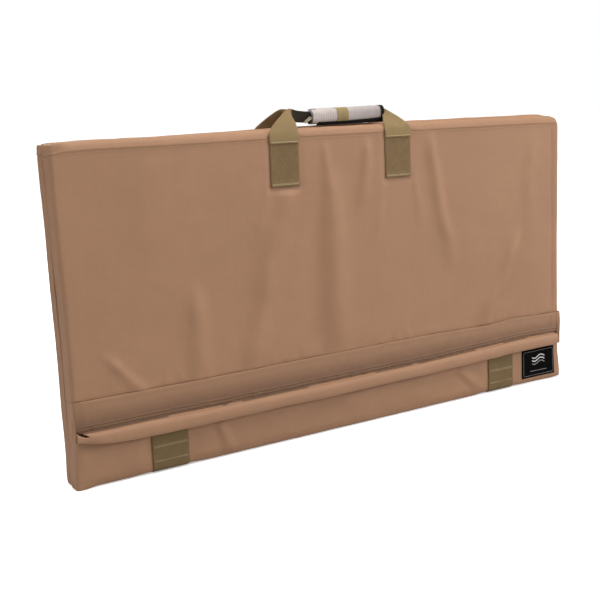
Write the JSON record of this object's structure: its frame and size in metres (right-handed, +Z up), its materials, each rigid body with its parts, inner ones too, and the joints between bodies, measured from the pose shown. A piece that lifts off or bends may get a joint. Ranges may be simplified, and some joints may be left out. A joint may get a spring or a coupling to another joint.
{
  "type": "layout field blind",
  "caption": "Folding layout hunting blind closed into a flat carry case: two tube-framed fabric leaves hinged at one end, carry grip on top, hanging skirt.",
  "frame": {"origin": "bottom centre of the closed case, on the plane midway between the two leaves, at the level the anchor webbing stands on", "axes": "+X along the case away from the folding end, +Y through the thickness from the front leaf to the back leaf, +Z up towards the carry grip"},
  "size_m": [0.9168, 0.076, 0.4928],
  "materials": {
    "tan_canvas": "coated woven polyester, soft sheen",
    "olive_webbing": "coarse woven webbing, matt",
    "mesh_sling": "open heavy mesh, matt",
    "tube": "drawn tube, satin",
    "fitting": "moulded nylon, matt",
    "fastener": "zinc plated",
    "grip_fabric": "ribbed padded cloth, light grey",
    "binding": "narrow woven tape, black",
    "patch": null,
    "skirt_cloth": "coated woven polyester, soft sheen"
  },
  "bodies": {
    "seat_leaf": {"seat_cover": "tan_canvas", "seat_top_rail": "tube", "seat_bottom_rail": "tube", "seat_end_rail": "tube", "seat_corner_elbows": "fitting", "seat_cross_bars": "tube", "seat_bar_saddles": "fitting", "seat_hinge_fittings": "fitting", "seat_rivets": "fastener", "seat_sling": "mesh_sling", "seat_pad": "tan_canvas", "seat_anchor_webbing": "olive_webbing", "front_handle_tabs": "olive_webbing", "label_patch": "patch"},
    "hinge_link": {"hinge_link_plates": "fastener", "hinge_pins": "fastener", "spine_panel": "tan_canvas"},
    "back_leaf": {"back_cover": "tan_canvas", "back_top_rail": "tube", "back_bottom_rail": "tube", "back_end_rail": "tube", "back_corner_elbows": "fitting", "back_cross_bars": "tube", "back_bar_saddles": "fitting", "back_hinge_fittings": "fitting", "back_rivets": "fastener", "back_sling": "mesh_sling", "back_pad": "tan_canvas", "back_anchor_webbing": "olive_webbing", "rear_handle_tabs": "olive_webbing", "prop_brackets": "fitting", "prop_bracket_screws": "fastener", "prop_pins": "fastener"},
    "prop": {"prop_frame": "tube", "prop_foot_sleeve": "fitting"},
    "skirt": {"skirt_panel": "skirt_cloth", "skirt_rod": "tube"},
    "front_handle": {"front_handle_loop": "olive_webbing", "grip_wrap": "grip_fabric", "grip_binding": "binding", "grip_keeper": "olive_webbing"},
    "rear_handle": {"rear_handle_loop": "olive_webbing"},
    "grip_closure": {"grip_flap": "grip_fabric", "grip_hook_strip": "binding"}
  },
  "joints": [
    {"name": "seat_fold", "type": "hinge", "parent": "seat_leaf", "child": "hinge_link", "pos_m": [-0.45, -0.017, 0.2318], "axis": [0, 0, 1], "range_deg": [0, 90]},
    {"name": "back_fold", "type": "hinge", "parent": "hinge_link", "child": "back_leaf", "pos_m": [-0.45, 0.017, 0.2318], "axis": [0, 0, 1], "range_deg": [0, 90]},
    {"name": "prop_swing", "type": "hinge", "parent": "back_leaf", "child": "prop", "pos_m": [0.23, 0.0325, 0.2318], "axis": [0, 0, -1], "range_deg": [0, 110]},
    {"name": "skirt_lift", "type": "hinge", "parent": "seat_leaf", "child": "skirt", "pos_m": [0, -0.0261, 0.1188], "axis": [-1, 0, 0], "range_deg": [0, 150]},
    {"name": "handle_lift", "type": "slide", "parent": "seat_leaf", "child": "front_handle", "axis": [0, 0, 1], "range_m": [0, 0.025]},
    {"name": "rear_handle_lift", "type": "slide", "parent": "back_leaf", "child": "rear_handle", "axis": [0, 0, 1], "range_m": [0, 0.025]},
    {"name": "grip_flap_close", "type": "hinge", "parent": "front_handle", "child": "grip_closure", "pos_m": [0.02, 0.0074, 0.4908], "axis": [-1, 0, 0], "range_deg": [0, 90]}
  ],
  "couplings": [
    {"joint": "rear_handle_lift", "follows": "handle_lift", "ratio": 1}
  ]
}
